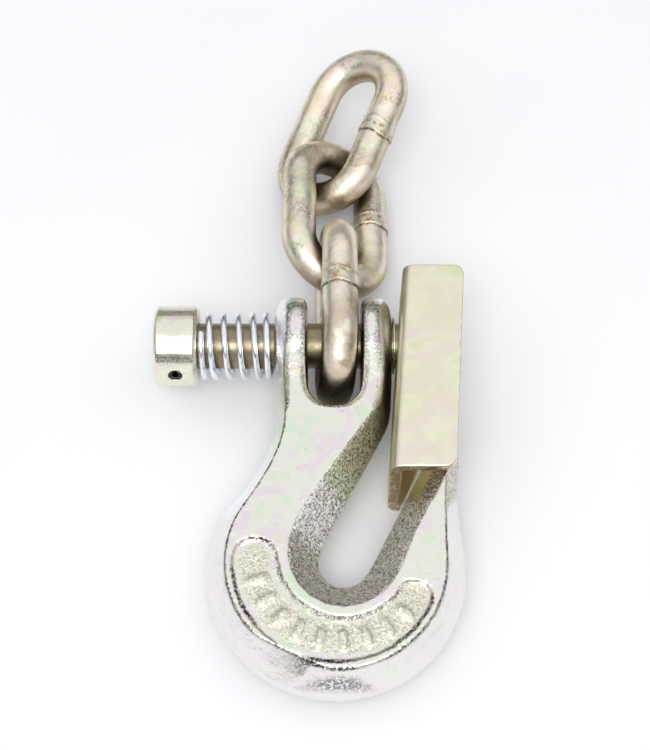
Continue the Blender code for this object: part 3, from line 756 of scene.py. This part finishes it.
def latch_material():
    """The turned pieces' film, with a painted dark reflection in a band along the upper front of the collar."""
    s = Shader("yellow_zinc_latch")
    beige, olive = (0.83, 0.80, 0.66), (0.70, 0.76, 0.54)
    cream, pink = (0.86, 0.86, 0.72), (0.83, 0.77, 0.70)
    tint = zinc_tints(s, 10 * MM, [olive, cream, beige, cream, pink, cream, olive])
    dark = s.fit(s.noise(0.8 * MM, 4.0, 0.5, 0.6), 0.66, 0.74, 0.0, 0.6)
    tint = s.mix(dark, tint, (0.36, 0.28, 0.18))
    # painted reflection: a speckled dark band, picked by how the surface faces
    turn = s.split(s.add("ShaderNodeTexCoord").outputs["Normal"])
    band = s.times(s.fit(turn["Z"], 0.50, 0.58), s.fit(turn["Z"], 0.76, 0.68))
    band = s.times(band, s.fit(turn["Y"], -0.4, -0.6))
    dark_reflection_band = s.times(band, s.fit(s.noise(0.35 * MM, 4.0, 0.4, 0.66), 0.40, 0.56, 0.0, 0.8))
    tint = s.mix(dark_reflection_band, tint, (0.14, 0.12, 0.08))
    grain = s.bump(s.noise(0.6 * MM, 3.0), 0.05 * MM, 0.5)
    return s.finish(tint, s.uneven(4 * MM, 0.24, 0.36), grain)


def pin_material():
    """The same film as the collar's, but much darker all over."""
    s = Shader("yellow_zinc_pin")
    tint = zinc_tints(s, 9 * MM, [(0.26, 0.27, 0.12), (0.34, 0.30, 0.18), (0.34, 0.26, 0.18),
                                  (0.36, 0.35, 0.22)])
    dark = s.fit(s.noise(1.0 * MM, 4.0, 0.5, 0.6), 0.58, 0.70, 0.0, 0.7)
    tint = s.mix(dark, tint, (0.20, 0.15, 0.09))
    grain = s.bump(s.noise(0.6 * MM, 3.0), 0.06 * MM, 0.6)
    return s.finish(tint, s.uneven(3 * MM, 0.30, 0.46), grain)


def sheet_material():
    """The keeper's film: painted shade on the web and inside, a bright burr with a painted highlight on the edges,
    and a torn end darkened partly by painted shade.
    """
    s = Shader("yellow_zinc_sheet")
    beige, olive = (0.83, 0.78, 0.62), (0.76, 0.79, 0.52)
    cream, pink = (0.86, 0.84, 0.66), (0.85, 0.77, 0.68)
    tint = zinc_tints(s, 30 * MM, [olive, cream, beige, pink, cream, olive])
    # painted shade: a darker olive web, and brown inner faces that see little light
    tint = s.tinted(tint, "web_painted_shade", 0.65, (0.60, 0.56, 0.30))
    tint = s.tinted(tint, "inner_face", 0.88, (0.48, 0.38, 0.22))
    # a bright burr on the torn end, and a painted highlight along the sheet's cut edges
    burr_and_edge_highlight = s.fit(s.noise(2.2 * MM, 3.0, 0.6), 0.36, 0.56, 0.35, 1.0)
    tint = s.tinted(tint, "cut_edge", burr_and_edge_highlight, (1.0, 0.96, 0.84))
    # the torn end face is dark: partly raw torn steel, partly painted shade
    torn_and_shaded = s.fit(s.noise(1.5 * MM, 3.0, 0.8), 0.36, 0.52, 0.35, 1.0)
    tint = s.tinted(tint, "cut_face", torn_and_shaded, (0.40, 0.30, 0.16))
    dark = s.fit(s.noise(1.1 * MM, 4.0, 0.5, 0.6), 0.68, 0.76, 0.0, 0.45)
    tint = s.mix(dark, tint, (0.40, 0.32, 0.20))
    rolled = s.bump(s.noise(2.0 * MM, 3.0, 0.0, 0.5, (1.0, 0.25, 1.0)), 0.07 * MM, 0.4)
    cut = s.bump(s.noise(0.7 * MM, 4.0, 0.4, 0.6), 0.30 * MM, s.stored("cut_edge"), rolled)
    return s.finish(tint, s.uneven(7 * MM, 0.30, 0.42), cut)


def chain_material():
    """Warm zinc film, with painted shade where the stock turns down and on one crown, rusty at the weld."""
    s = Shader("yellow_zinc_chain")
    bronze, rose = (0.80, 0.68, 0.50), (0.96, 0.84, 0.73)
    sage, straw = (0.84, 0.90, 0.68), (0.96, 0.87, 0.58)
    tint = zinc_tints(s, 15 * MM, [bronze, straw, rose, rose, sage, rose])
    # painted shade: browner where the stock's surface turns down
    level = s.split(s.add("ShaderNodeNewGeometry").outputs["Normal"])
    tint = s.mix(s.fit(level["Z"], 0.72, 0.0, 0.0, 0.85), tint, (0.42, 0.33, 0.21))
    # painted shade, blotchy, over one crown
    crown_shade = s.fit(s.noise(6 * MM, 3.0, 0.6), 0.40, 0.62, 0.0, 0.6)
    tint = s.tinted(tint, "crown_shade_zone", crown_shade, (0.50, 0.43, 0.29))
    tint = s.tinted(tint, "weld_zone", 0.5, (0.72, 0.72, 0.62))
    rust = s.times(s.fit(s.noise(2.2 * MM, 3.0, 0.5), 0.52, 0.62), 0.8)
    tint = s.tinted(tint, "weld_zone", rust, (0.50, 0.30, 0.16))
    specks = s.fit(s.noise(0.7 * MM, 4.0, 0.6, 0.65), 0.44, 0.64)
    patches = s.fit(s.noise(8 * MM, 3.0), 0.48, 0.66, 0.0, 0.8)
    tint = s.mix(s.times(specks, patches), tint, (0.40, 0.33, 0.25))
    seam = s.fit(s.noise(1.2 * MM, 3.0), 0.35, 0.5, 0.5, 1.0)
    tint = s.tinted(tint, "seam_zone", seam, (0.12, 0.09, 0.06))
    # painted shade in crevices
    tint = s.mix(s.crevice_shade(8 * MM, 0.4, 0.85), tint, (0.17, 0.13, 0.08))
    peel = s.bump(s.noise(2.4 * MM, 3.0, 0.3), 0.22 * MM, 0.6)
    grain = s.bump(s.noise(0.6 * MM, 4.0, 0.3, 0.6), 0.10 * MM, 0.7, peel)
    return s.finish(tint, s.uneven(5 * MM, 0.30, 0.46), grain)


def spring_material():
    """Bright drawn wire, faintly blue."""
    s = Shader("bright_zinc_spring")
    tint = s.ramp(s.noise(6 * MM, 2.0), [(0.35, (0.82, 0.87, 0.95)), (0.65, (0.95, 0.97, 1.0))])
    drawn = s.bump(s.noise(0.5 * MM, 3.0), 0.02 * MM, 0.4)
    return s.finish(tint, s.uneven(1.5 * MM, 0.14, 0.26), drawn)


def roll_pin_material():
    """Nearly black spring steel."""
    s = Shader("dark_spring_steel")
    tint = s.ramp(s.noise(1.2 * MM, 3.0), [(0.35, (0.035, 0.035, 0.04)), (0.7, (0.10, 0.10, 0.11))])
    grain = s.bump(s.noise(0.5 * MM, 3.0), 0.02 * MM, 0.4)
    return s.finish(tint, s.uneven(0.8 * MM, 0.30, 0.45), grain)


def floor_material():
    """White paper with a faint glow, so that it stays white under the dim room."""
    s = Shader("paper_floor", metallic=0.0)
    tint = s.ramp(s.noise(60 * MM, 3.0), [(0.3, (0.845, 0.85, 0.865)), (0.7, (0.865, 0.87, 0.88))])
    s.surface.inputs["Emission Color"].default_value = (0.95, 0.96, 1.0, 1.0)
    s.surface.inputs["Emission Strength"].default_value = FLOOR_GLOW
    return s.finish(tint, 0.9, s.bump(s.noise(1.5 * MM, 2.0), 0.01 * MM, 0.3))


# ---------------------------------------------------------------- studio
def build_floor():
    """A sheet of paper just under the lowest point of the CAD."""
    corners = [(x * FLOOR_REACH, y * FLOOR_REACH, 0.0) for x, y in ((-1, -1), (1, -1), (1, 1), (-1, 1))]
    obj = piece_from("studio_floor", corners, [(0, 1, 2, 3)])
    obj.location.z = CAD_BOX[0].z - FLOOR_DROP
    obj.data.materials.append(floor_material())


def build_world():
    """A white tent from about 34 degrees up and a white sweep in front, round a dim room."""
    world = bpy.data.worlds.new("studio")
    bpy.context.scene.world = world
    world.use_nodes = True
    tree = world.node_tree
    place = tree.nodes.new("ShaderNodeTexCoord")
    split = tree.nodes.new("ShaderNodeSeparateXYZ")
    tree.links.new(place.outputs["Generated"], split.inputs["Vector"])
    room = world_ramp(tree, split.outputs["Z"], ROOM_LEVELS)
    sweep = world_ramp(tree, split.outputs["Z"], SWEEP_LEVELS)
    front = tree.nodes.new("ShaderNodeMapRange")
    front.interpolation_type = "SMOOTHSTEP"
    tree.links.new(split.outputs["Y"], front.inputs["Value"])
    for socket, number in zip(("From Min", "From Max"), SWEEP_SIDE):
        front.inputs[socket].default_value = number
    blend = tree.nodes.new("ShaderNodeMix")
    blend.data_type = "RGBA"
    tree.links.new(front.outputs["Result"], blend.inputs["Factor"])
    a, b, mixed = mix_sockets(blend)
    tree.links.new(room, a)
    tree.links.new(sweep, b)
    tree.links.new(mixed, tree.nodes["Background"].inputs["Color"])
    tree.nodes["Background"].inputs["Strength"].default_value = ROOM_STRENGTH


def world_ramp(tree, height, levels):
    """Brightness by height, a trace bluer than grey."""
    ramp = tree.nodes.new("ShaderNodeValToRGB")
    tree.links.new(height, ramp.inputs["Fac"])
    fill_ramp(ramp, [(position, (level, level, 1.01 * level)) for position, level in levels])
    return ramp.outputs["Color"]


def build_lamp(name, place, size, power):
    """A rectangular lamp that looks at the middle of the frame."""
    lamp = bpy.data.lights.new(name, "AREA")
    lamp.shape = "RECTANGLE"
    lamp.size, lamp.size_y = size
    lamp.energy = power
    obj = bpy.data.objects.new(name, lamp)
    obj.location = place
    obj.rotation_euler = (-Vector(place)).to_track_quat("-Z", "Y").to_euler()
    bpy.context.scene.collection.objects.link(obj)


def build_camera():
    """The photo's camera, looking down from the front."""
    camera = bpy.data.cameras.new("camera")
    camera.lens = CAMERA_LENS
    camera.clip_start = 0.01
    obj = bpy.data.objects.new("camera", camera)
    back = Vector((0.0, -math.sin(CAMERA_TILT), math.cos(CAMERA_TILT)))
    obj.location = CAMERA_AIM + CAMERA_DISTANCE * back
    obj.rotation_euler = Euler((CAMERA_TILT, 0.0, 0.0))
    bpy.context.scene.collection.objects.link(obj)
    bpy.context.scene.camera = obj


# ---------------------------------------------------------------- assembly
def show(obj, node, material):
    """obj takes the CAD node's place on its body."""
    obj.data.materials.clear()
    obj.data.materials.append(material)
    obj.data.shade_smooth()
    body = next(b for b, members in RECORD["behaviour"]["bodies"].items() if node in members)
    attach(obj, body)
    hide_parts(node)


def main():
    show(build_hook(), "hook_body", forging_material())
    chain = chain_material()
    show(build_link("link_at_clevis", "chain_link_1", 0.4, -1.0), "chain_link_1", chain)
    show(build_link("link_middle", "chain_link_2", 2.1, 1.0), "chain_link_2", chain)
    show(build_link("link_end", "chain_link_3", 4.0, -1.0), "chain_link_3", chain)
    latch = latch_material()
    show(build_turned("pin_shaft", "latch_pin", 0.3 * MM, 5), "latch_pin", pin_material())
    show(build_turned("collar_ring", "pin_collar", 0.25 * MM, 3), "pin_collar", latch)
    show(build_turned("washer_disc", "thrust_washer", 0.12 * MM, 2), "thrust_washer", latch)
    show(build_turned("weld_bead", "keeper_weld", 0.25 * MM, 3), "keeper_weld", latch)
    show(build_keeper(), "keeper_channel", sheet_material())
    show(build_turned("roll_pin", "collar_roll_pin", 0.12 * MM, 1), "collar_roll_pin",
         roll_pin_material())
    spring = build_spring()
    show(spring, "latch_spring", spring_material())
    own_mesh(spring)
    build_floor()
    build_world()
    build_lamp("softbox", LAMP_PLACE, LAMP_SIZE, LAMP_POWER)
    build_camera()
    bpy.context.scene.view_settings.view_transform = "Standard"


main()
